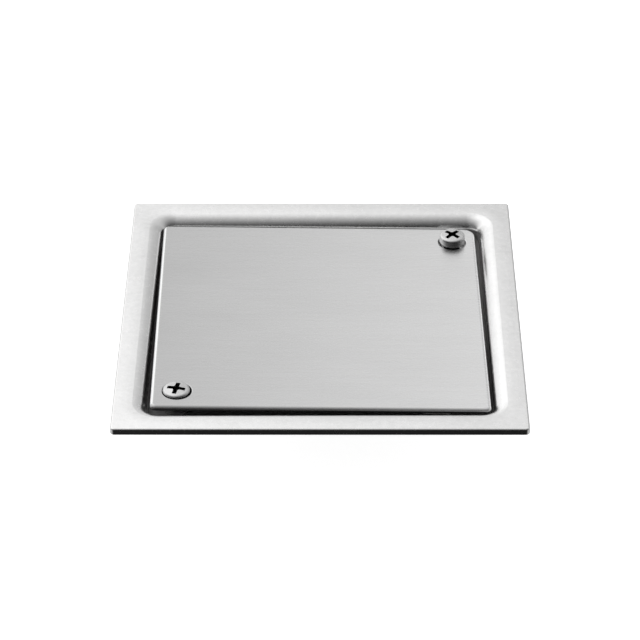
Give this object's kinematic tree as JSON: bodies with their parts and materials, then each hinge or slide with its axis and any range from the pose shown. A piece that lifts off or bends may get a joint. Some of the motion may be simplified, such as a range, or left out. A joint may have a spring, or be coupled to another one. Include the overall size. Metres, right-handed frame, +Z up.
{
  "type": "floor drain",
  "caption": "Square steel floor drain: a solid cover held by screws lies in a rolled frame, and water runs in through the slot round it and down a round outlet spigot.",
  "frame": {"origin": "Middle of the plane on which the underside of the flange sits on the floor, above the centre of the outlet.", "axes": "+Z up out of the drain, +Y away from the side that faces the camera, +X to the right. The cover's screws are at the front left and the rear right."},
  "size_m": [0.15, 0.15, 0.0403],
  "materials": {
    "frame_steel": "satin, pickled",
    "cover_steel": "finely brushed from left to right",
    "screw_steel": "bright rolled",
    "tray_steel": "dull mill finish",
    "seal_rubber": "matt black"
  },
  "bodies": {
    "root": {"frame": "frame_steel", "sump_tray": "tray_steel", "outlet_spigot": "tray_steel", "spigot_seal": "seal_rubber", "screw_boss_front": "tray_steel", "screw_boss_rear": "tray_steel", "cover_rest_right": "tray_steel", "cover_rest_left": "tray_steel", "cover_plate": "cover_steel", "cover_screw_front": "screw_steel", "cover_screw_rear": "screw_steel"}
  },
  "joints": []
}
